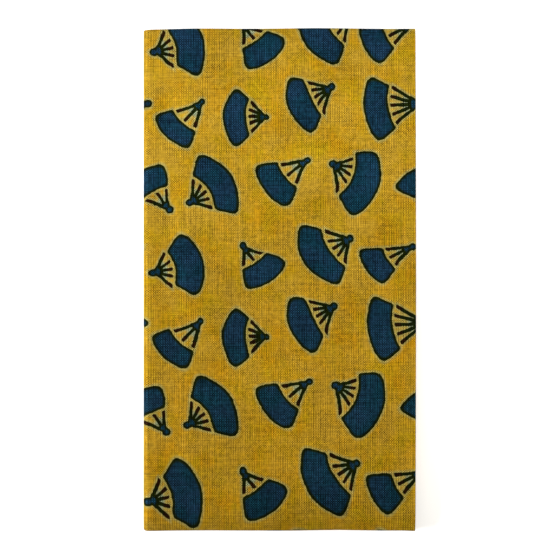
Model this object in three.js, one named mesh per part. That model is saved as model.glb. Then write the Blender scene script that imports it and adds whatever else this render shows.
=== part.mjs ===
// A tenugui, the thin printed cotton towel: one length of plain-weave cloth, dyed right to its selvedges
// and left raw at its two cut ends. It lies folded as it is kept in a drawer: in half and in half again
// along its length, which makes a book of four plies, and then in three across its width, so that twelve
// plies lie on each other. The cloth is one solid, with air between its layers.
//
// Millimetres, Z up. X runs across the folded towel and Y along it. The origin is at the centre of its base.
import * as THREE from "three";

// The cloth, laid out flat.
const CLOTH_WIDTH = 340; // from selvedge to selvedge
const CLOTH_LENGTH = 900; // from cut end to cut end
const PLY = 0.4; // thickness of one layer

// The folded towel.
const PACKET_WIDTH = 122.5;
const PACKET_LENGTH = 226;
const MIDDLE_FOLD = 451; // where the first fold crosses the length, 1 mm off its middle
const PLY_GAP = 0.18; // air between the layers of a book
const BOOK_GAP = 0.3; // air between one book and the next
const SETBACK = 2; // how far the inner fold stays short of the selvedges that lie over it

// How loosely it lies.
const DIP = 0.8; // how far the top book sinks past the end of the flap that is tucked in under it
const DIP_RUN = 14; // and how much of its width it takes to do so
const FAN = 0.3; // how much further apart the layers are at the free selvedges, as a share of their pitch
const FAN_RUN = 6.2; // and how far in from the selvedges that starts
const DROOP = 0.35; // how far the selvedges hang down past the fold under them
const STAGGER = 0.3; // how far a layer's selvedge lies in front of or behind its straight line
const SKEW = 0.35; // how far one book lies along Y from the next
const LOFT = 0.045; // how much thicker or thinner the pile is from place to place, as a share of its height

// The slow waves in which these come and go: millimetres to a radian, the start, and the share of the whole.
const STAGGER_WAVE = { run: 75, start: 3.35 }; // along the cloth's length
const SKEW_WAVE = { run: 43, start: 1 }; // along its width
const SWELLS = { acrossRun: 21, acrossStart: 0.8, alongRun: 34, alongStart: -0.5, share: 0.6 }; // X by Y
const SLANT = { run: 52, lean: 1.7, share: 0.4 }; // and one long wave on the slant

const PITCH = PLY + PLY_GAP;
const BOOK = 3 * PITCH + PLY; // the thickness of four plies
const BOOK_PITCH = BOOK + BOOK_GAP;

// Lines along the book, as [y, n]: n is measured through the book from its middle.
const spineY = -PACKET_LENGTH / 2 + BOOK / 2;
const middleFoldY = PACKET_LENGTH / 2 - PITCH / 2 - PLY / 2;
const plyLength = middleFoldY - spineY;
const halfTurn = (radius) => Math.PI * radius;
const firstEndY = spineY + (MIDDLE_FOLD - halfTurn(PITCH / 2) / 2 - plyLength - halfTurn(1.5 * PITCH));
const secondHalf = CLOTH_LENGTH - MIDDLE_FOLD - halfTurn(PITCH / 2) / 2;
const secondEndY = spineY + (secondHalf - plyLength - halfTurn(PITCH / 2));

// A line through the cloth is a list of stretches, each a curve and the number of steps it is drawn with.
const straight = (x0, y0, x1, y1, steps) => ({
  curve: new THREE.LineCurve(new THREE.Vector2(x0, y0), new THREE.Vector2(x1, y1)),
  steps,
});
const turn = (x, y, radius, from, to, steps) => ({
  curve: new THREE.EllipseCurve(x, y, radius, radius, from, to, to < from),
  steps,
});
const ease = (x0, y0, x1, y1, steps) => ({
  curve: new THREE.CubicBezierCurve(
    new THREE.Vector2(x0, y0),
    new THREE.Vector2((x0 + x1) / 2, y0),
    new THREE.Vector2((x0 + x1) / 2, y1),
    new THREE.Vector2(x1, y1),
  ),
  steps,
});
const [UP, DOWN] = [Math.PI / 2, -Math.PI / 2];

// The cloth's own line through a book. From the first cut end it runs to the spine, turns round the other
// three plies and comes back outside them, folds in on itself, and goes to the spine and back once more.
const clothLine = (pitch) => [
  straight(firstEndY, -1.5 * pitch, spineY, -1.5 * pitch, 5),
  turn(spineY, 0, 1.5 * pitch, DOWN, DOWN - Math.PI, 8),
  straight(spineY, 1.5 * pitch, middleFoldY, 1.5 * pitch, 5),
  turn(middleFoldY, pitch, pitch / 2, UP, DOWN, 5),
  straight(middleFoldY, pitch / 2, spineY, pitch / 2, 5),
  turn(spineY, 0, pitch / 2, UP, UP + Math.PI, 5),
  straight(spineY, -pitch / 2, secondEndY, -pitch / 2, 5),
];

// The book's own line across the packet, as [x, z].
const bottomZ = BOOK / 2;
const flapZ = bottomZ + BOOK_PITCH;
const topZ = flapZ + BOOK_PITCH;
const innerRadius = BOOK_PITCH / 2;
const outerRadius = (topZ - DIP - bottomZ) / 2;
const selvedgeX = PACKET_WIDTH / 2;
const innerFoldX = selvedgeX - SETBACK - BOOK / 2 - innerRadius;
const outerFoldX = -selvedgeX + BOOK / 2 + outerRadius;
const bottomWidth = innerFoldX - outerFoldX;
const topWidth = selvedgeX - outerFoldX;
const flapWidth = CLOTH_WIDTH - halfTurn(innerRadius) - bottomWidth - halfTurn(outerRadius) - topWidth;
const flapEndX = innerFoldX - flapWidth;
const fanX = selvedgeX - FAN_RUN;

const bookLine = [
  straight(flapEndX, flapZ, innerFoldX, flapZ, 6), // the flap, tucked in between the two panels
  turn(innerFoldX, flapZ - innerRadius, innerRadius, UP, DOWN, 7), // the inner fold
  straight(innerFoldX, bottomZ, outerFoldX, bottomZ, 8), // the bottom panel
  turn(outerFoldX, bottomZ + outerRadius, outerRadius, DOWN, DOWN - Math.PI, 9), // the outer fold
  straight(outerFoldX, topZ - DIP, flapEndX - DIP_RUN, topZ - DIP, 1), // the top panel, down at this side
  ease(flapEndX - DIP_RUN, topZ - DIP, flapEndX, topZ, 5), // rising on to the flap
  straight(flapEndX, topZ, fanX, topZ, 6), // lying on it
  ease(fanX, topZ, selvedgeX, topZ - DROOP, 4), // and hanging down at the four free selvedges
];

// Walks along a line and gives each point with the normal to its left and its distance from the start.
function walk(line) {
  const stops = [];
  let start = 0;
  line.forEach(({ curve, steps }, i) => {
    const length = curve.getLength();
    for (let step = i === 0 ? 0 : 1; step <= steps; step++) {
      const t = step / steps;
      const along = curve.getTangent(t);
      const normal = new THREE.Vector2(-along.y, along.x);
      stops.push({ at: curve.getPoint(t), normal, s: start + t * length });
    }
    start += length;
  });
  return stops;
}

// The closed outline of the cloth's thickness round its line: out along one face and back along the other.
function bookOutline(pitch) {
  const line = walk(clothLine(pitch));
  const face = (side) =>
    line.map(({ at, normal, s }) => ({ at: at.clone().addScaledVector(normal, (side * PLY) / 2), v: s }));
  return [...face(1), ...face(-1).reverse()];
}

// How the pile swells and sinks from place to place, between about -1 and 1.
const swell = (x, y) => {
  const across = Math.sin(x / SWELLS.acrossRun + SWELLS.acrossStart);
  const along = Math.cos(y / SWELLS.alongRun + SWELLS.alongStart);
  return SWELLS.share * across * along + SLANT.share * Math.sin((x + SLANT.lean * y) / SLANT.run);
};

// One slice of the folded towel, across the book at a stop on the book's line.
function slice({ at, normal, s }) {
  const loose = THREE.MathUtils.smoothstep(at.x, fanX, selvedgeX) * (at.y > flapZ + BOOK / 2 ? 1 : 0);
  const skew = SKEW * Math.sin(s / SKEW_WAVE.run + SKEW_WAVE.start);
  return bookOutline(PITCH * (1 + FAN * loose)).map(({ at: { x: y, y: n }, v }) => {
    const stagger = STAGGER * loose * Math.sin(v / STAGGER_WAVE.run + STAGGER_WAVE.start);
    const x = at.x + n * normal.x + stagger;
    const z = at.y + n * normal.y;
    return new THREE.Vector3(x, y + skew, z * (1 + LOFT * swell(x, y)));
  });
}

// Joins one slice to the next, and closes the first and the last across the cloth's thickness.
function loft(slices) {
  const around = slices[0].length;
  const lastSlice = (slices.length - 1) * around;
  const index = [];
  const quad = (a, b, c, d) => index.push(a, b, c, a, c, d);
  for (let start = 0; start < lastSlice; start += around)
    for (let i = 0; i < around; i++) {
      const next = (i + 1) % around;
      quad(start + i, start + around + i, start + around + next, start + next);
    }
  for (let i = 0; i + 1 < around / 2; i++) {
    const opposite = around - 1 - i;
    quad(i, i + 1, opposite - 1, opposite);
    quad(lastSlice + opposite, lastSlice + opposite - 1, lastSlice + i + 1, lastSlice + i);
  }
  return new THREE.BufferGeometry().setFromPoints(slices.flat()).setIndex(index);
}

const dyedCotton = new THREE.MeshStandardMaterial({ color: 0xb28a26, roughness: 0.9, metalness: 0 });

const cloth = loft(walk(bookLine).map(slice));
cloth.computeBoundingBox();
const { min, max } = cloth.boundingBox;
cloth.translate(-(min.x + max.x) / 2, -(min.y + max.y) / 2, -min.z);

const towelCloth = new THREE.Mesh(cloth, dyedCotton);
towelCloth.name = "towel_cloth";

const tenugui = new THREE.Group().add(towelCloth);

export default tenugui;
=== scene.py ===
"""A tenugui, the thin printed cotton towel, folded flat: one cloth dyed mustard yellow and hand-printed with
scattered folding fans in navy. It lies on a pale floor, seen from straight above. Lengths are in
millimetres until a mesh is made, which is in metres."""

import math

import bpy
import numpy as np
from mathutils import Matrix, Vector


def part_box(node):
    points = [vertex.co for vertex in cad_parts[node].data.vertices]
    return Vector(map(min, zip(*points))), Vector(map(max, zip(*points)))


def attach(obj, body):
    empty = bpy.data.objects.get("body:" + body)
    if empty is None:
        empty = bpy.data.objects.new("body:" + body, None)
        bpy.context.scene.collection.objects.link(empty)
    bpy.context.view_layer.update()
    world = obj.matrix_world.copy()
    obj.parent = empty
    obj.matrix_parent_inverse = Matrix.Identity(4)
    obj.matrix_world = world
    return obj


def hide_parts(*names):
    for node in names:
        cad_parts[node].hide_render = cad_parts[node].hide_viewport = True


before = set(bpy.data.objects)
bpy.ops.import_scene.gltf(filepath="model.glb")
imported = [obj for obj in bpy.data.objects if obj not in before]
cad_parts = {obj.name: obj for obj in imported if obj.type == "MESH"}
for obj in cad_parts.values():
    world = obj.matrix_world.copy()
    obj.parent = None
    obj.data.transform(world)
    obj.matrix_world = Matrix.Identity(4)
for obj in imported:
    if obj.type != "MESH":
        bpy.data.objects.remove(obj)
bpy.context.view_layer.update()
bpy.ops.object.select_all(action="DESELECT")

MM = 0.001  # metres in a millimetre


# The camera looks straight down on the packet, which lies upright in a square frame.
FRAME_PIXELS = 560
MM_PER_PIXEL = 0.449  # at the towel's upper face
LENS = 100.0
SENSOR = 36.0
SHIFT = 0.0006  # the packet lies a touch low and left in the frame

towel_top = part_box("towel_cloth")[1].z
bpy.ops.object.camera_add(
    location=(0, 0, towel_top + LENS / SENSOR * FRAME_PIXELS * MM_PER_PIXEL * MM), rotation=(0, 0, 0)
)
camera = bpy.context.object
camera.data.lens = LENS
camera.data.sensor_width = SENSOR
camera.data.shift_x = camera.data.shift_y = SHIFT
bpy.context.scene.camera = camera
bpy.context.scene.view_settings.view_transform = "Standard"


# The cloth: one length of plain-weave cotton, 34 cm between its selvedges and 90 cm between its cut ends.
# It is folded in half and in half again along its length, which makes a book of four plies, and then in
# three across its width. Each fold is soft, so the layers turn round each other with a little air between.
CLOTH_WIDTH, CLOTH_LENGTH = 340.0, 900.0
PACKET_WIDTH, PACKET_LENGTH = 122.5, 226.0
PLY, PLY_GAP, BOOK_GAP = 0.4, 0.18, 0.3
MIDDLE_FOLD = 451.0  # where the first fold crosses the length
SETBACK = 2.0  # how far the inner fold stays short of the selvedges over it
DIP, DIP_RUN = 0.8, 14.0  # the top book sinks past the end of the flap that is tucked in under it
FAN, FAN_RUN, DROOP = 0.3, 6.2, 0.35  # the free selvedges spread and hang down a little
STAGGER, STAGGER_RUN, STAGGER_START = 0.3, 75.0, 3.35  # a selvedge lies off its straight line, in a slow wave
SKEW, SKEW_RUN, SKEW_START = 0.35, 43.0, 1.0  # one book lies along Y from the next, in another
LOFT = 0.045  # the pile swells and sinks by this share of its height
SWELL_RUNS, SWELL_STARTS, SWELL_SHARE = (21.0, 34.0), (0.8, -0.5), 0.6  # in waves that cross
SLANT_RUN, SLANT_LEAN, SLANT_SHARE = 52.0, 1.7, 0.4  # and in one long wave on the slant

PITCH = PLY + PLY_GAP
BOOK = 3 * PITCH + PLY
BOOK_PITCH = BOOK + BOOK_GAP
spine_y = -PACKET_LENGTH / 2 + BOOK / 2
middle_fold_y = PACKET_LENGTH / 2 - PITCH / 2 - PLY / 2
ply_length = middle_fold_y - spine_y
tight_turn = math.pi * PITCH / 2
first_end_y = spine_y + MIDDLE_FOLD - tight_turn / 2 - ply_length - 3 * tight_turn
second_end_y = spine_y + CLOTH_LENGTH - MIDDLE_FOLD - 1.5 * tight_turn - ply_length


def straight(start, end, steps):
    """A straight stretch of a line through the cloth: points, normals to its left, and its length."""
    start, end = np.array(start, float), np.array(end, float)
    share = np.linspace(0, 1, steps + 1)[:, None]
    along = (end - start) / np.linalg.norm(end - start)
    normal = np.tile((-along[1], along[0]), (steps + 1, 1))
    return start + (end - start) * share, normal, np.linalg.norm(end - start)


def turn(centre, radius, first, last, steps):
    """A fold: an arc about its centre from one angle to another."""
    angle = np.linspace(first, last, steps + 1)
    outwards = np.stack((np.cos(angle), np.sin(angle)), 1)
    side = 1 if last < first else -1
    return np.array(centre) + radius * outwards, side * outwards, radius * abs(last - first)


def ease(start, end, steps):
    """A stretch that leaves one level and comes to another with no corner."""
    share = np.linspace(0, 1, steps + 1)
    run, rise = end[0] - start[0], end[1] - start[1]
    blend = share**2 * (3 - 2 * share)
    slope = rise / run * 6 * share * (1 - share)
    points = np.stack((start[0] + run * share, start[1] + rise * blend), 1)
    normal = np.stack((-slope, np.ones_like(slope)), 1) * np.sign(run)
    return points, normal / np.linalg.norm(normal, axis=1)[:, None], math.hypot(run, rise)


def walk(stretches):
    """Joins stretches end to end, as points, normals and the distance of each point along the cloth."""
    points, normals, distances, start = [], [], [], 0.0
    for number, (at, normal, length) in enumerate(stretches):
        skip = 0 if number == 0 else 1
        points.append(at[skip:])
        normals.append(normal[skip:])
        distances.append(start + np.linspace(0, length, len(at))[skip:])
        start += length
    return np.concatenate(points), np.concatenate(normals), np.concatenate(distances)


UP, DOWN = math.pi / 2, -math.pi / 2
PLY_STEPS = 44  # along each ply of a book


def book_line(pitch):
    """The cloth's line through a book of four plies, as (y, n), with n measured through the book."""
    return walk([
        straight((first_end_y, -1.5 * pitch), (spine_y, -1.5 * pitch), steps=PLY_STEPS),
        turn((spine_y, 0), 1.5 * pitch, DOWN, DOWN - math.pi, steps=12),
        straight((spine_y, 1.5 * pitch), (middle_fold_y, 1.5 * pitch), steps=PLY_STEPS),
        turn((middle_fold_y, pitch), pitch / 2, UP, DOWN, steps=8),
        straight((middle_fold_y, pitch / 2), (spine_y, pitch / 2), steps=PLY_STEPS),
        turn((spine_y, 0), pitch / 2, UP, UP + math.pi, steps=8),
        straight((spine_y, -pitch / 2), (second_end_y, -pitch / 2), steps=PLY_STEPS),
    ])


bottom_z = BOOK / 2
flap_z = bottom_z + BOOK_PITCH
top_z = flap_z + BOOK_PITCH
inner_radius = BOOK_PITCH / 2
outer_radius = (top_z - DIP - bottom_z) / 2
selvedge_x = PACKET_WIDTH / 2
inner_fold_x = selvedge_x - SETBACK - BOOK / 2 - inner_radius
outer_fold_x = -selvedge_x + BOOK / 2 + outer_radius
panels = inner_fold_x + selvedge_x - 2 * outer_fold_x
flap_end_x = inner_fold_x - (CLOTH_WIDTH - math.pi * (inner_radius + outer_radius) - panels)
fan_x = selvedge_x - FAN_RUN

across, across_normal, u = walk([
    straight((flap_end_x, flap_z), (inner_fold_x, flap_z), steps=20),
    turn((inner_fold_x, flap_z - inner_radius), inner_radius, UP, DOWN, steps=12),
    straight((inner_fold_x, bottom_z), (outer_fold_x, bottom_z), steps=26),
    turn((outer_fold_x, bottom_z + outer_radius), outer_radius, DOWN, DOWN - math.pi, steps=22),
    straight((outer_fold_x, top_z - DIP), (flap_end_x - DIP_RUN, top_z - DIP), steps=2),
    ease((flap_end_x - DIP_RUN, top_z - DIP), (flap_end_x, top_z), steps=12),
    straight((flap_end_x, top_z), (fan_x, top_z), steps=30),
    ease((fan_x, top_z), (selvedge_x, top_z - DROOP), steps=10),
])
v = book_line(PITCH)[2]

bpy.ops.mesh.primitive_grid_add(x_subdivisions=len(u) - 1, y_subdivisions=len(v) - 1, size=1)
cloth = bpy.context.object
cloth.name = "tenugui_cloth"

corner = np.empty(len(cloth.data.vertices) * 3)
cloth.data.vertices.foreach_get("co", corner)
column, row = np.rint((corner.reshape(-1, 3)[:, :2] + 0.5) * (len(u) - 1, len(v) - 1)).astype(int).T


def swell(x, y):
    """How the pile swells and sinks from place to place, between about -1 and 1."""
    crossing = np.sin(x / SWELL_RUNS[0] + SWELL_STARTS[0]) * np.cos(y / SWELL_RUNS[1] + SWELL_STARTS[1])
    return SWELL_SHARE * crossing + SLANT_SHARE * np.sin((x + SLANT_LEAN * y) / SLANT_RUN)


# The iron leaves the two folded ends and the outer fold thinner: how far in from the edge that starts, the
# share of the height that it takes at the edge, and the power by which it grows on the way there.
SPINE_PRESSED, END_PRESSED, SIDE_PRESSED = (9.0, 0.30, 3), (9.0, 0.06, 2), (6.0, 0.10, 2)

# Waves in the pile, as shares of its height. Each has its own run, in millimetres to a radian, and bends to
# and fro by some radians over a longer run.
PUCKER, PUCKER_REACH = 0.012, 5.0  # small puckers at the two long folds, and how soon they die away
PUCKER_RUN, PUCKER_BEND, PUCKER_BEND_RUN = 1.9, 3.0, 13.0
RIPPLE = 0.012  # a wrinkling that runs through all the layers together, across and along
ACROSS_RUN, ACROSS_BEND, ACROSS_BEND_RUN = 5.3, 2.0, 23.0
ALONG_RUN, ALONG_BEND, ALONG_BEND_RUN, ALONG_BEND_START = 9.7, 1.5, 17.0, 1.0
LIFT, LIFT_RUN = 0.08, 16.0  # the free selvedges also rise and fall a little, in mm
WOBBLE, WOBBLE_RUN = 0.12, 9.0  # and the folded ends aren't quite straight

# Creases left by handling: where the middle of each lies on the face, which way it runs, in degrees from +X,
# how long and how broad it is, and how high it stands or how deep it sinks.
CREASES = [
    # x, y, heading, length, breadth, height
    (33, 86, 92, 66, 6.0, 0.16),
    (23, 84, 95, 58, 5.0, -0.12),
    (-47, 58, 87, 60, 5.0, -0.10),
    (-22, 98, 174, 52, 5.0, 0.10),
    (42, 42, 8, 44, 4.5, -0.09),
    (-8, 62, 78, 30, 8.0, -0.10),
    (-14, -6, 3, 84, 6.0, 0.10),
    (4, -38, 97, 56, 5.0, -0.10),
    (44, -46, 88, 50, 6.0, 0.13),
    (-44, -66, 166, 46, 5.0, -0.12),
    (8, -76, 5, 70, 5.5, 0.10),
    (34, -97, 172, 50, 4.5, -0.09),
]
CREASE_STRAY, CREASE_STRAY_RUN = 0.08, 4.0  # a crease strays from its line by a share of its breadth
CREASE_ENDS = 4  # and runs at one height nearly to its ends


def ripple(x, y):
    """A slow wrinkling of the whole pile, between -1 and 1."""
    across = np.sin(x / ACROSS_RUN + ACROSS_BEND * np.sin(y / ACROSS_BEND_RUN))
    return across * np.sin(y / ALONG_RUN + ALONG_BEND * np.sin(x / ALONG_BEND_RUN + ALONG_BEND_START))


def pucker(x, y):
    """The puckers along the two long folds."""
    from_fold = selvedge_x - np.abs(x)
    wave = np.sin(y / PUCKER_RUN + PUCKER_BEND * np.sin(y / PUCKER_BEND_RUN))
    return wave * np.exp(-from_fold / PUCKER_REACH)


def pressed(x, y):
    """What share of its height the pile keeps from place to place."""
    keep = 1.0
    for inside, (run, share, power) in [
        (PACKET_LENGTH / 2 + y, SPINE_PRESSED),
        (PACKET_LENGTH / 2 - y, END_PRESSED),
        (selvedge_x + x, SIDE_PRESSED),
    ]:
        keep = keep - share * np.clip(1 - inside / run, 0, 1) ** power
    return keep


def creased(x, y):
    """How far the face stands above or below its own level, for all the creases together."""
    rise = 0.0
    for middle_x, middle_y, heading, length, breadth, height in CREASES:
        cosine, sine = math.cos(math.radians(heading)), math.sin(math.radians(heading))
        along = (x - middle_x) * cosine + (y - middle_y) * sine
        stray = CREASE_STRAY * breadth * np.sin(along / CREASE_STRAY_RUN)
        beside = (y - middle_y) * cosine - (x - middle_x) * sine + stray
        rise = rise + height * np.exp(-((2 * along / length) ** CREASE_ENDS) - (2 * beside / breadth) ** 2)
    return rise


place = np.empty((len(u), len(v), 3))
for i, ((x, z), (x_normal, z_normal), s) in enumerate(zip(across, across_normal, u)):
    share = np.clip((x - fan_x) / FAN_RUN, 0, 1)
    loose = share**2 * (3 - 2 * share) * (z > flap_z + BOOK / 2)
    (y, n) = book_line(PITCH * (1 + FAN * loose))[0].T
    n = n + LIFT * loose * np.sin(v / LIFT_RUN)
    across_x = x + n * x_normal + STAGGER * loose * np.sin(v / STAGGER_RUN + STAGGER_START)
    along_y = y + SKEW * np.sin(s / SKEW_RUN + SKEW_START) + WOBBLE * np.sin(s / WOBBLE_RUN)
    height = (z + n * z_normal) * pressed(across_x, y) * (
        1 + LOFT * swell(across_x, y) + RIPPLE * ripple(across_x, y) + PUCKER * pucker(across_x, y)
    )
    height = height + creased(across_x, y) * height / top_z
    place[i] = np.stack((across_x, along_y, height), 1)

place -= [(place[..., 0].min() + place[..., 0].max()) / 2, (place[..., 1].min() + place[..., 1].max()) / 2, 0]
cloth.data.vertices.foreach_set("co", (place[column, row] * MM).ravel())

FLAT_MAP = "laid_out_flat"  # where each place of the cloth lies when it is spread out, as shares of its size
flat_map = cloth.data.uv_layers[0]
flat_map.name = FLAT_MAP
corner_vertex = np.empty(len(cloth.data.loops), int)
cloth.data.loops.foreach_get("vertex_index", corner_vertex)
laid_out = np.stack((u[column[corner_vertex]] / CLOTH_WIDTH, v[row[corner_vertex]] / CLOTH_LENGTH), 1)
flat_map.uv.foreach_set("vector", laid_out.ravel())
cloth.data.update()

SMOOTH_ANGLE = math.radians(50)  # faces that meet at less than this look like one surface
thickness = cloth.modifiers.new("thickness", "SOLIDIFY")
thickness.thickness = PLY * MM
thickness.offset = 0
bpy.ops.object.modifier_apply(modifier=thickness.name)
bpy.ops.object.shade_smooth_by_angle(angle=SMOOTH_ANGLE)


# Tenugui cotton: unbleached plain weave of single yarns, dyed through in mustard yellow and printed by hand
# through a stencil. It is quite matt, with the fine check of its threads and uneven yarns showing in the dye.
def linear(hex_colour):
    """An sRGB hex colour as Blender's linear colour."""
    parts = [int(hex_colour[i:i + 2], 16) / 255 for i in (1, 3, 5)]
    return [c / 12.92 if c <= 0.04045 else ((c + 0.055) / 1.055) ** 2.4 for c in parts] + [1.0]


def add(tree, kind, *feeds, **settings):
    """Adds a node and feeds its inputs, in order or by name, with values or with other outputs. A name with a
    capital is an input, and any other is a setting."""
    made = tree.nodes.new("ShaderNode" + kind)
    for name, value in settings.items():
        if name.islower():
            setattr(made, name, value)
    fed = list(zip([i for i in made.inputs if i.enabled], feeds))
    fed += [(made.inputs[name], feed) for name, feed in settings.items() if not name.islower()]
    for socket, feed in fed:
        if isinstance(feed, bpy.types.NodeSocket):
            tree.links.new(feed, socket)
        else:
            socket.default_value = feed
    shown = [o for o in made.outputs if o.enabled]
    return shown[0] if len(shown) == 1 else made.outputs


MUSTARD_GREEN = linear("#9b7e0e")
MUSTARD_WARM = linear("#a3770e")
MUSTARD_PALE = linear("#9f7d22")
NAVY = linear("#092835")
NAVY_BLUE = linear("#11283b")
OVERPRINT = linear("#0e1500")
RED_OVERPRINT = linear("#1b0b00")
PALE_RIM = linear("#868a58")
PALE_GAP = linear("#76866e")

dyed_cotton = bpy.data.materials.new("dyed_cotton")
dyed_cotton.use_nodes = True
tree = dyed_cotton.node_tree
uv = add(tree, "UVMap", uv_map=FLAT_MAP)
flat = add(tree, "VectorMath", uv, (CLOTH_WIDTH, CLOTH_LENGTH, 0), operation="MULTIPLY")

# The print repeats every 123 by 100.5 mm. Each row is one fan: its pivot, in mm from the middle of the
# packet's face, and the way it opens, in degrees from +X. Then come the radii of its leaf, half the leaf's
# spread, the way the leaf's sides run, how much flatter than round its inner edge is, and how far its arcs
# slip to one side. The last four are its ribs, half their spread, their turn from the leaf, and the knob.
REPEAT = (123.0, 100.5)
FACE_MIDDLE = (CLOTH_WIDTH - selvedge_x, first_end_y - spine_y + 3 * tight_turn - spine_y)
FANS = [
    # x, y, heading, inner, outer, half, side, flat, slip, ribs, spread, lean, knob
    (-56.7, 103.2, 14, 10.0, 23.4, 45.5, 44, 12, -0.5, 5, 52, 0, 1.9),
    (-16.4, 116.1, 306, 9.5, 21.5, 39, 31, 40, 0, 3, 34, -1, 1.7),
    (32.2, 118.8, 210, 10.6, 23.7, 51, 43, 16, -0.7, 5, 51, -1, 1.7),
    (60.2, 115.4, 207, 12.6, 24.0, 26.5, 26, 14, -1.0, 3, 22.5, -1, 1.7),
    (-34.5, 80.6, 225, 13.1, 22.9, 32, 28, 4, -0.8, 3, 27.5, 2, 1.5),
    (-5.5, 73.8, 181, 9.2, 20.0, 49, 44, 13, 0.3, 5, 47.5, -1, 1.3),
    (23.5, 87.2, 209, 10.2, 22.0, 47.5, 36, 60, 2.5, 5, 46, 3.5, 1.75),
    (64, 80, 188, 14.9, 26.0, 39, 34, 4, -0.3, 5, 37, -3, 1.7),
    (-49.5, 31.8, 126, 11.4, 22.6, 32, 30, 12, 3.4, 3, 30.5, 2, 1.85),
    (-40.5, 34.9, 33.5, 10.0, 22.6, 51, 46, 11, 0, 5, 49, 0, 1.75),
    (12.8, 53.8, 217, 12.3, 23.7, 35, 30, 8, -1.0, 3, 30, 0, 1.65),
    (24.3, 52.4, 331, 10.8, 23.7, 58.5, 32, 9, -3.5, 5, 51, -2.5, 1.9),
]
LEAF_ROUND, LEAF_INNER_ROUND = 6.0, 2.0  # how far from a corner of the leaf its edge starts to turn
RIB, RIB_WIDENS = 0.72, 0.01  # half a rib's width where the ribs meet, and what each mm outwards adds to it
RIBS_MEET = 0.9  # how far in front of the pivot that is
RIB_GAP, RIB_ROUND = 0.95, 1.0  # between a rib's tip and the leaf, and how far the tip is rounded
PALM, PALM_ROUND = 0.30, 0.5  # the ribs run together inside this share of the leaf's inner radius
JOIN = 1.2  # how far the ink fills the corners between ribs, palm and knob
RED_TIP = 2.6  # how far from its tip a rib is red
PALE_REACH = 3.4  # how far past the palm the ground between the ribs stays pale
OVERPRINT_WIDTH, THIN_OVERPRINT_WIDTH = 1.15, 0.95  # round the leaf and round the palm
THIN_SHARPNESS = 2.0  # how much sharper the second is than the first
KNIFE_WANDERS = 10  # how often the knife strays in 100 mm of a cut edge
NOISE_MIDDLE = 0.5  # every noise varies about this value


def from_nearest(tree, at, pivot):
    """Where a place is from a pivot, or from the same pivot in whichever repeat of the print is nearest."""
    away = add(tree, "VectorMath", at, pivot, operation="SUBTRACT")
    most = (REPEAT[0] / 2, REPEAT[1] / 2, 1)
    least = (-REPEAT[0] / 2, -REPEAT[1] / 2, -1)
    return add(tree, "VectorMath", away, most, least, operation="WRAP")


fan_shape = bpy.data.node_groups.new("folding_fan", "ShaderNodeTree")
for name in ["Cloth", "Pivot"]:
    fan_shape.interface.new_socket(name, in_out="INPUT", socket_type="NodeSocketVector")
for name in [
    "Heading", "Inner", "Outer", "Half", "Side", "Flat", "Slip", "Ribs", "Spread", "Lean", "Knob",
]:
    fan_shape.interface.new_socket(name, in_out="INPUT", socket_type="NodeSocketFloat")
for name in ["Distance", "Depth", "To tips", "To gaps"]:
    fan_shape.interface.new_socket(name, in_out="OUTPUT", socket_type="NodeSocketFloat")

given = fan_shape.nodes.new("NodeGroupInput").outputs
near = from_nearest(fan_shape, given["Cloth"], given["Pivot"])
# The stencil was cut by hand, so its edges wander a little, in the same way at each repeat.
knife = add(fan_shape, "VectorMath", near, given["Pivot"], operation="ADD")
knife = add(
    fan_shape, "TexNoise", knife, Scale=KNIFE_WANDERS / 100, Detail=0.0, Roughness=0.5, noise_dimensions="2D"
)
wander = add(fan_shape, "VectorMath", knife["Color"], (NOISE_MIDDLE,) * 3, operation="SUBTRACT")
cut = add(fan_shape, "VectorMath", near, wander, operation="ADD")


def turned_to(at, angle):
    """How far a place is ahead of the pivot and to its left, for one that faces this way."""
    back = add(fan_shape, "Math", angle, -1, operation="MULTIPLY")
    turned = add(fan_shape, "VectorRotate", at, (0, 0, 0), back, rotation_type="Z_AXIS")
    parts = add(fan_shape, "SeparateXYZ", turned)
    return parts["X"], parts["Y"]


def length_of(x, y):
    """The straight distance that these two make at right angles."""
    x_squared = add(fan_shape, "Math", x, x, operation="MULTIPLY")
    y_squared = add(fan_shape, "Math", y, y, operation="MULTIPLY")
    both = add(fan_shape, "Math", x_squared, y_squared, operation="ADD")
    return add(fan_shape, "Math", both, operation="SQRT")


def outside(beside, ahead, angle):
    """How far a place lies outside a straight line that runs off at this angle to the fan's middle line."""
    cosine = add(fan_shape, "Math", angle, operation="COSINE")
    sine = add(fan_shape, "Math", angle, operation="SINE")
    beside = add(fan_shape, "Math", beside, cosine, operation="MULTIPLY")
    ahead = add(fan_shape, "Math", ahead, sine, operation="MULTIPLY")
    return add(fan_shape, "Math", beside, ahead, operation="SUBTRACT")


# The leaf lies between two arcs and two straight sides, which start at the ends of its inner edge.
ahead, left = turned_to(cut, given["Heading"])
slipped = add(fan_shape, "Math", left, given["Slip"], operation="SUBTRACT")
past_outer = add(fan_shape, "Math", length_of(ahead, slipped), given["Outer"], operation="SUBTRACT")
flatter = add(fan_shape, "Math", ahead, given["Flat"], operation="ADD")
past_inner = add(fan_shape, "Math", given["Inner"], given["Flat"], operation="ADD")
past_inner = add(fan_shape, "Math", past_inner, length_of(flatter, slipped), operation="SUBTRACT")
corner_ahead = add(fan_shape, "Math", given["Half"], operation="COSINE")
corner_ahead = add(fan_shape, "Math", given["Inner"], corner_ahead, operation="MULTIPLY")
corner_beside = add(fan_shape, "Math", given["Half"], operation="SINE")
corner_beside = add(fan_shape, "Math", given["Inner"], corner_beside, operation="MULTIPLY")
past_corner = add(fan_shape, "Math", ahead, corner_ahead, operation="SUBTRACT")
off_corner = add(fan_shape, "Math", left, operation="ABSOLUTE")
off_corner = add(fan_shape, "Math", off_corner, corner_beside, operation="SUBTRACT")
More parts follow.
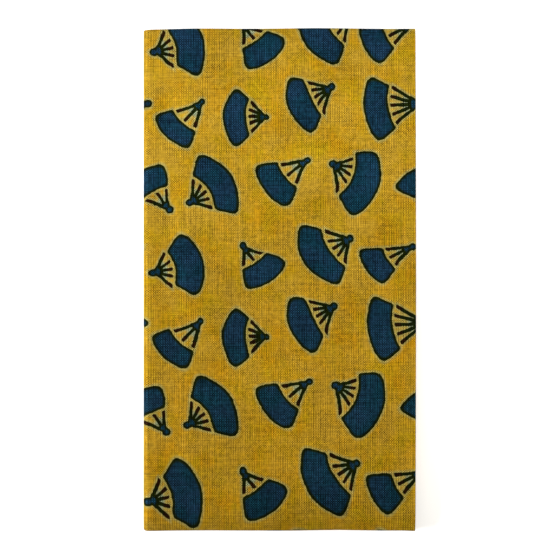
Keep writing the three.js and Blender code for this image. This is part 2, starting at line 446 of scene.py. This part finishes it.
past_side = outside(off_corner, past_corner, given["Side"])
leaf = add(fan_shape, "Math", past_outer, past_side, LEAF_ROUND, operation="SMOOTH_MAX")
leaf = add(fan_shape, "Math", leaf, past_inner, LEAF_INNER_ROUND, operation="SMOOTH_MAX")

# The ribs run out from near the pivot and stop short of the leaf. Each place belongs to the rib that is
# nearest by its angle.
ribs_heading = add(fan_shape, "Math", given["Heading"], given["Lean"], operation="ADD")
ahead, left = turned_to(cut, ribs_heading)
beside = add(fan_shape, "Math", left, operation="ABSOLUTE")
from_meeting = add(fan_shape, "Math", ahead, RIBS_MEET, operation="SUBTRACT")
half_ribs = add(fan_shape, "Math", given["Ribs"], 1, operation="SUBTRACT")
half_ribs = add(fan_shape, "Math", half_ribs, 2, operation="DIVIDE")
angle_step = add(fan_shape, "Math", given["Spread"], half_ribs, operation="DIVIDE")
angle = add(fan_shape, "Math", beside, from_meeting, operation="ARCTAN2")
rib_number = add(fan_shape, "Math", angle, angle_step, operation="DIVIDE")
rib_number = add(fan_shape, "Math", rib_number, operation="ROUND")
rib_number = add(fan_shape, "Math", rib_number, half_ribs, operation="MINIMUM")
rib_angle = add(fan_shape, "Math", rib_number, angle_step, operation="MULTIPLY")
off_rib = add(fan_shape, "Math", angle, rib_angle, operation="SUBTRACT")
radius = length_of(from_meeting, beside)
behind = add(fan_shape, "Math", off_rib, operation="COSINE")
behind = add(fan_shape, "Math", behind, -1, operation="MULTIPLY")
behind = add(fan_shape, "Math", radius, behind, operation="MULTIPLY")
behind = add(fan_shape, "Math", behind, 0, operation="MAXIMUM")
beside_rib = add(fan_shape, "Math", off_rib, operation="SINE")
beside_rib = add(fan_shape, "Math", radius, beside_rib, operation="MULTIPLY")
half_rib = add(fan_shape, "Math", radius, RIB_WIDENS, operation="MULTIPLY")
half_rib = add(fan_shape, "Math", half_rib, RIB, operation="ADD")
strip = add(fan_shape, "Math", length_of(behind, beside_rib), half_rib, operation="SUBTRACT")
past_tip = add(fan_shape, "Math", RIB_GAP, past_inner, operation="SUBTRACT")
rib = add(fan_shape, "Math", strip, past_tip, RIB_ROUND, operation="SMOOTH_MAX")

# They grow together into a palm, and a knob closes them at the pivot.
past_last_rib = outside(beside, from_meeting, given["Spread"])
palm_radius = add(fan_shape, "Math", given["Inner"], PALM, operation="MULTIPLY")
past_palm = add(fan_shape, "Math", radius, palm_radius, operation="SUBTRACT")
past_rib_edge = add(fan_shape, "Math", past_last_rib, RIB, operation="SUBTRACT")
palm = add(fan_shape, "Math", past_palm, past_rib_edge, PALM_ROUND, operation="SMOOTH_MAX")
knob = add(fan_shape, "Math", length_of(ahead, beside), given["Knob"], operation="SUBTRACT")
sticks = add(fan_shape, "Math", rib, palm, JOIN, operation="SMOOTH_MIN")
sticks = add(fan_shape, "Math", sticks, knob, JOIN, operation="SMOOTH_MIN")

# What the cloth asks of a fan: how far it is to its edge, how deep it is inside the overprinted outline, and
# how far it is to the red tips and to the pale gaps between the ribs.
distance = add(fan_shape, "Math", leaf, sticks, operation="MINIMUM")
leaf_depth = add(fan_shape, "Math", leaf, OVERPRINT_WIDTH, operation="ADD")
stick_depth = add(fan_shape, "Math", sticks, THIN_OVERPRINT_WIDTH, operation="ADD")
stick_depth = add(fan_shape, "Math", stick_depth, THIN_SHARPNESS, operation="MULTIPLY")
depth = add(fan_shape, "Math", leaf_depth, stick_depth, operation="MINIMUM")
past_red = add(fan_shape, "Math", past_inner, RIB_GAP, operation="SUBTRACT")
past_red = add(fan_shape, "Math", past_red, RED_TIP, operation="SUBTRACT")
to_tips = add(fan_shape, "Math", rib, past_red, operation="MAXIMUM")
past_pale = add(fan_shape, "Math", past_palm, PALE_REACH, operation="SUBTRACT")
to_gaps = add(fan_shape, "Math", past_last_rib, past_pale, operation="MAXIMUM")
answers = fan_shape.nodes.new("NodeGroupOutput").inputs
for name, answer in [("Distance", distance), ("Depth", depth), ("To tips", to_tips), ("To gaps", to_gaps)]:
    fan_shape.links.new(answer, answers[name])

# The cloth has shrunk a little since it was printed, by one share all over. It also gave on the printing
# table, so the print grows in two steps below the middle of this face. Each row says about which point, by
# what shares across and along, and between which heights.
SHRUNK = 0.007
STRETCHES = [
    # x, y, across, along, starts, ends
    (-12, -60, 0.032, 0.030, 16, -16),
    (-22, -74, 0.026, 0.055, -62, -80),
]
along_cloth = add(tree, "SeparateXYZ", flat)["Y"]
shift = add(tree, "VectorMath", flat, (*FACE_MIDDLE, 0), operation="SUBTRACT")
shift = add(tree, "VectorMath", shift, (SHRUNK, SHRUNK, 0), operation="MULTIPLY")
print_at = add(tree, "VectorMath", flat, shift, operation="ADD")
for x, y, across_share, along_share, starts, ends in STRETCHES:
    still = (FACE_MIDDLE[0] + x, FACE_MIDDLE[1] + y, 0)
    shift = add(tree, "VectorMath", flat, still, operation="SUBTRACT")
    shift = add(tree, "VectorMath", shift, (-across_share, -along_share, 0), operation="MULTIPLY")
    reached = add(
        tree, "MapRange", along_cloth, FACE_MIDDLE[1] + starts, FACE_MIDDLE[1] + ends, 0.0, 1.0,
        interpolation_type="SMOOTHSTEP",
    )
    shift = add(tree, "VectorMath", shift, reached, operation="SCALE")
    print_at = add(tree, "VectorMath", print_at, shift, operation="ADD")

FAR = 100.0  # further than any place is from a fan
nearest = {"Distance": FAR, "Depth": FAR, "To tips": FAR, "To gaps": FAR}
for x, y, heading, inner, outer, half, side, flatness, slip, ribs, spread, lean, knob_size in FANS:
    fan = tree.nodes.new("ShaderNodeGroup")
    fan.node_tree = fan_shape
    tree.links.new(print_at, fan.inputs["Cloth"])
    fan.inputs["Pivot"].default_value = (FACE_MIDDLE[0] + x, FACE_MIDDLE[1] + y, 0)
    for name, value in [
        ("Inner", inner), ("Outer", outer), ("Flat", flatness), ("Slip", slip), ("Ribs", ribs),
        ("Knob", knob_size),
    ]:
        fan.inputs[name].default_value = value
    for name, degrees in [
        ("Heading", heading), ("Half", half), ("Side", side), ("Spread", spread), ("Lean", lean),
    ]:
        fan.inputs[name].default_value = math.radians(degrees)
    for name, least in nearest.items():
        nearest[name] = add(tree, "Math", fan.outputs[name], least, operation="MINIMUM")

# The ink creeps a little way along the threads, so no edge of the print is quite clean.
CREEP, CREEPS = 0.5, 30  # how far, in mm, and how often in 100 mm
creep = add(tree, "TexNoise", flat, Scale=CREEPS / 100, Detail=1.0, Roughness=0.5, noise_dimensions="2D")
creeping = add(tree, "Math", creep["Fac"], NOISE_MIDDLE, operation="SUBTRACT")
distance = add(tree, "Math", creeping, CREEP, nearest["Distance"], operation="MULTIPLY_ADD")
depth = add(tree, "Math", creeping, CREEP, nearest["Depth"], operation="MULTIPLY_ADD")

# The parts of the print: the distance at which each begins, the distance at which it is full, and how much
# of it there is at both. In the outline the blue lies over the yellow and is nearly black, redder at the tips
# of the ribs. Inside it the blue lies alone. The ground is paler round a fan and between its ribs.
INKED, ALONE, RED = (0.12, -0.12, 0.0, 1.0), (0.5, -0.5, 0.0, 1.0), (0.9, -0.5, 0.0, 1.0)
RIM, GAP = (1.45, 0.0, 0.0, 0.6), (0.4, -1.6, 0.0, 0.85)
inked = add(tree, "MapRange", distance, *INKED, interpolation_type="SMOOTHSTEP")
alone = add(tree, "MapRange", depth, *ALONE, interpolation_type="SMOOTHSTEP")
red_tip = add(tree, "MapRange", nearest["To tips"], *RED, interpolation_type="SMOOTHSTEP")
rim = add(tree, "MapRange", distance, *RIM, interpolation_type="SMOOTHSTEP")
pale_gap = add(tree, "MapRange", nearest["To gaps"], *GAP, interpolation_type="SMOOTHSTEP")

# In two places of each repeat the dye has pooled, and left a faint stain.
POOLS = [
    # x, y, size
    (-2.2, 65.8, 7.0),
    (23.8, 68.0, 7.5),
]
POOL_STRAY = 4.0  # how far its edge strays
POOL_OUTER, POOL_INNER = 3.5, 1.5  # it fades over this much outside and inside its size
POOL_DARKER = 0.07
pooled = 0.0
for x, y, size in POOLS:
    near = from_nearest(tree, print_at, (FACE_MIDDLE[0] + x, FACE_MIDDLE[1] + y, 0))
    reach = add(tree, "VectorMath", near, operation="LENGTH")
    reach = add(tree, "Math", creep["Fac"], POOL_STRAY, reach, operation="MULTIPLY_ADD")
    pool = add(
        tree, "MapRange", reach, size + POOL_OUTER, size - POOL_INNER, 0.0, 1.0,
        interpolation_type="SMOOTHSTEP",
    )
    pooled = add(tree, "Math", pool, pooled, operation="MAXIMUM")

# The weave.
WEAVE, WEAVE_TONE, WEAVE_RELIEF = 1.06, 0.30, 0.1  # yarn to yarn, how much it shows in the tone, its height
WEAVE_PATCHES = 12  # in 100 mm
SHOWS = (0.38, 0.62)  # the noise at which a patch begins, and at which it is full
threads = add(tree, "VectorMath", flat, (2 * math.pi / WEAVE, 2 * math.pi / WEAVE, 0), operation="MULTIPLY")
threads = add(tree, "SeparateXYZ", threads)
warp = add(tree, "Math", threads["X"], operation="SINE")
weft = add(tree, "Math", threads["Y"], operation="SINE")
check = add(tree, "Math", warp, weft, operation="MULTIPLY")
patches = add(
    tree, "TexNoise", flat, Scale=WEAVE_PATCHES / 100, Detail=2.0, Roughness=0.6, noise_dimensions="2D"
)
patch = add(tree, "SeparateColor", patches["Color"])
weave = 0.0
for yarns, shown_by, least, most in [
    (warp, patch["Red"], 0.1, 0.9), (weft, patch["Green"], 0.05, 0.5), (check, patch["Blue"], 0.3, 2.6),
]:
    strength = add(tree, "MapRange", shown_by, *SHOWS, least, most)
    weave = add(tree, "Math", yarns, strength, weave, operation="MULTIPLY_ADD")

# Single yarns are thick and thin, so a length of one takes more or less dye. A slow mottle and a fine grain
# lie over them. Each row says how many there are in 100 mm across and along the cloth, how many finer
# patterns lie on each and how strong those are, and how much it all changes the tone.
UNEVENNESS = {
    # name: across, along, finer, share, tone
    "warp slubs": (130, 4, 2.0, 0.6, 0.7),
    "weft slubs": (5, 130, 2.0, 0.6, 0.6),
    "mottle": (4.5, 4.5, 3.0, 0.6, 0.45),
    "grain": (60, 60, 1.0, 0.5, 0.7),
}
tone = add(tree, "Math", weave, WEAVE_TONE, 1.0, operation="MULTIPLY_ADD")
tone = add(tree, "Math", pooled, -POOL_DARKER, tone, operation="MULTIPLY_ADD")
noises = {}
for name, (across_count, along_count, finer, share, strength) in UNEVENNESS.items():
    counted = add(tree, "VectorMath", flat, (across_count / 100, along_count / 100, 0), operation="MULTIPLY")
    noises[name] = add(
        tree, "TexNoise", counted, Scale=1.0, Detail=finer, Roughness=share, noise_dimensions="2D"
    )
    centred = add(tree, "Math", noises[name]["Fac"], NOISE_MIDDLE, operation="SUBTRACT")
    tone = add(tree, "Math", centred, strength, tone, operation="MULTIPLY_ADD")

# Both dyes drift in colour over a centimetre or two, and the yellow from one yarn to the next too. A drift
# begins at the first of these values of the noise, and is full at the second.
HUES = 7  # in 100 mm
WARMER, BLUER, PALER = (0.34, 0.66, 0.0, 1.0), (0.38, 0.62, 0.0, 1.0), (0.36, 0.64, 0.0, 1.0)
YARN_HUE = 0.5  # how much a slub of the warp adds to the first
hues = add(tree, "TexNoise", flat, Scale=HUES / 100, Detail=4.0, Roughness=0.65, noise_dimensions="2D")
hue = add(tree, "SeparateColor", hues["Color"])
yarn_hue = add(tree, "Math", noises["warp slubs"]["Fac"], NOISE_MIDDLE, operation="SUBTRACT")
yarn_hue = add(tree, "Math", yarn_hue, YARN_HUE, hue["Red"], operation="MULTIPLY_ADD")
warmer = add(tree, "MapRange", yarn_hue, *WARMER)
bluer = add(tree, "MapRange", hue["Green"], *BLUER)
paler = add(tree, "MapRange", hue["Blue"], *PALER)
ground = add(tree, "Mix", warmer, MUSTARD_GREEN, MUSTARD_WARM, data_type="RGBA")
ground = add(tree, "Mix", paler, ground, MUSTARD_PALE, data_type="RGBA")
ground = add(tree, "Mix", rim, ground, PALE_RIM, data_type="RGBA")
ground = add(tree, "Mix", pale_gap, ground, PALE_GAP, data_type="RGBA")
overprint = add(tree, "Mix", red_tip, OVERPRINT, RED_OVERPRINT, data_type="RGBA")
printed = add(tree, "Mix", inked, ground, overprint, data_type="RGBA")
navy = add(tree, "Mix", bluer, NAVY, NAVY_BLUE, data_type="RGBA")
printed = add(tree, "Mix", alone, printed, navy, data_type="RGBA")

# The ink takes unevenly on the yarns, so the tone varies more in it than in the ground.
INK_RELIEF = 1.0  # how much more, as a power of the tone
relief = add(tree, "Math", inked, INK_RELIEF, 1.0, operation="MULTIPLY_ADD")
tone = add(tree, "Math", tone, relief, operation="POWER")
coloured = add(tree, "VectorMath", printed, tone, operation="SCALE")
bump = add(tree, "Bump", Strength=0.5, Distance=WEAVE_RELIEF * MM, Height=weave)

shader = tree.nodes["Principled BSDF"]
tree.links.new(coloured, shader.inputs["Base Color"])
tree.links.new(bump, shader.inputs["Normal"])
for name, value in [
    ("Roughness", 0.9), ("Specular IOR Level", 0.03), ("Sheen Weight", 0.02), ("Sheen Roughness", 0.4),
]:
    shader.inputs[name].default_value = value
cloth.data.materials.append(dyed_cotton)

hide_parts("towel_cloth")
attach(cloth, "root")


# The two cut ends are left raw, as on every tenugui, so the last weft yarns have worked loose and the ends
# of the warp stand out as a short soft fringe. The real ends are 0.4 mm apart; these are thicker, at 0.9 mm.
WARP_SPACING, WARP_STRAY = 0.9, 0.3  # and by what share of that one may lie off its place
WARP_LENGTH, WARP_SHORTEST = 1.5, 0.35  # the longest, and the shortest as a share of it
WARP_ROOT = 0.5  # how far each reaches back into the cloth
WARP_THICKNESS, WARP_TIP = 0.15, 0.06  # at its root and at its tip
WARP_LEAN, WARP_LIFT = 0.35, 0.06  # how far one may stray to a side, and up or down, as shares of its length
WARP_SEED = 3

bpy.ops.object.select_all(action="DESELECT")
bpy.ops.mesh.primitive_cone_add(
    vertices=4, radius1=WARP_THICKNESS / 2, radius2=WARP_TIP / 2, depth=1, location=(0, 0, 0.5)
)
fringe = bpy.context.object
fringe.name = "warp_fringe"
bpy.ops.object.transform_apply(location=True)
one_end = np.array([vertex.co for vertex in fringe.data.vertices])
one_end_faces = [list(face.vertices) for face in fringe.data.polygons]


def unit(vectors):
    """The same directions, each one millimetre long."""
    return vectors / np.linalg.norm(vectors, axis=-1)[..., None]


chance = np.random.default_rng(WARP_SEED)
points, faces, laid_out = [], [], []
for edge, within in [(0, 1), (-1, -2)]:
    outwards = unit(place[:, edge] - place[:, within])
    sideways = unit(np.gradient(place[:, edge], axis=0))
    upwards = np.cross(outwards, sideways)
    for from_selvedge in np.arange(WARP_SPACING, CLOTH_WIDTH - WARP_SPACING, WARP_SPACING):
        from_selvedge += chance.uniform(-WARP_STRAY, WARP_STRAY) * WARP_SPACING
        root, out, side, up = (
            np.array([np.interp(from_selvedge, u, way[:, axis]) for axis in range(3)])
            for way in (place[:, edge], outwards, sideways, upwards)
        )
        length = WARP_LENGTH * chance.uniform(WARP_SHORTEST, 1.0)
        lean, lift = chance.normal(0, WARP_LEAN / 2), chance.uniform(-WARP_LIFT, WARP_LIFT)
        points.append(
            root - out * WARP_ROOT
            + one_end[:, :1] * side + one_end[:, 1:2] * up
            + one_end[:, 2:] * (length + WARP_ROOT) * (out + lean * side + lift * up)
        )
        first = len(one_end) * (len(points) - 1)
        faces.extend([first + corner_number for corner_number in face] for face in one_end_faces)
        laid_out.append((from_selvedge / CLOTH_WIDTH, v[edge] / CLOTH_LENGTH))

fringe.data.clear_geometry()
fringe.data.from_pydata(np.concatenate(points) * MM, [], faces)
fringe_map = fringe.data.uv_layers.new(name=FLAT_MAP)
corners_each = sum(len(face) for face in one_end_faces)
fringe_map.uv.foreach_set("vector", np.repeat(laid_out, corners_each, axis=0).ravel())
fringe.data.materials.append(dyed_cotton)
bpy.ops.object.shade_smooth_by_angle(angle=SMOOTH_ANGLE)

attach(fringe, "root")


# The floor is smooth white paper, matt and evenly bright. The light is soft: two long lamps lie across the
# packet, a stronger one over its upper half and a weaker one over its lower half, and a low one at the left
# catches the rounded fold.
FLOOR_SIZE, FLOOR_GAP = 4000.0, 0.1  # the gap keeps it clear of the lowest ply
FLOOR_GLOW, ROOM_LIGHT = 0.6, 0.15
LAMP_LENGTH, LAMP_BREADTH = 300.0, 40.0
LAMPS = [
    # y, z, watts, colour
    (80, 127, 0.232, "#ffffff"),
    (-62, 85, 0.060, "#fff0cc"),
]
SIDE_TILT, SIDE_SPREAD = 70, 25  # the low lamp's lean from upright and how broad it looks, in degrees
SIDE_STRENGTH = 4.4  # watts a square metre

bpy.ops.mesh.primitive_plane_add(size=FLOOR_SIZE * MM, location=(0, 0, -FLOOR_GAP * MM))
floor = bpy.context.object
floor.name = "floor"
paper = bpy.data.materials.new("white_paper")
paper.use_nodes = True
paper_shader = paper.node_tree.nodes["Principled BSDF"]
paper_shader.inputs["Base Color"].default_value = linear("#f4f4f4")
paper_shader.inputs["Roughness"].default_value = 0.9
paper_shader.inputs["Emission Color"].default_value = linear("#ffffff")
paper_shader.inputs["Emission Strength"].default_value = FLOOR_GLOW
floor.data.materials.append(paper)

world = bpy.data.worlds.new("studio")
world.use_nodes = True
world.node_tree.nodes["Background"].inputs["Color"].default_value = linear("#ffffff")
world.node_tree.nodes["Background"].inputs["Strength"].default_value = ROOM_LIGHT
bpy.context.scene.world = world

for y, z, watts, colour in LAMPS:
    bpy.ops.object.light_add(type="AREA", location=(0, y * MM, z * MM))
    lamp = bpy.context.object
    lamp.data.shape = "RECTANGLE"
    lamp.data.size = LAMP_LENGTH * MM
    lamp.data.size_y = LAMP_BREADTH * MM
    lamp.data.energy = watts
    lamp.data.color = linear(colour)[:3]
bpy.ops.object.light_add(type="SUN", rotation=(0, -math.radians(SIDE_TILT), 0))
side_lamp = bpy.context.object
side_lamp.data.angle = math.radians(SIDE_SPREAD)
side_lamp.data.energy = SIDE_STRENGTH
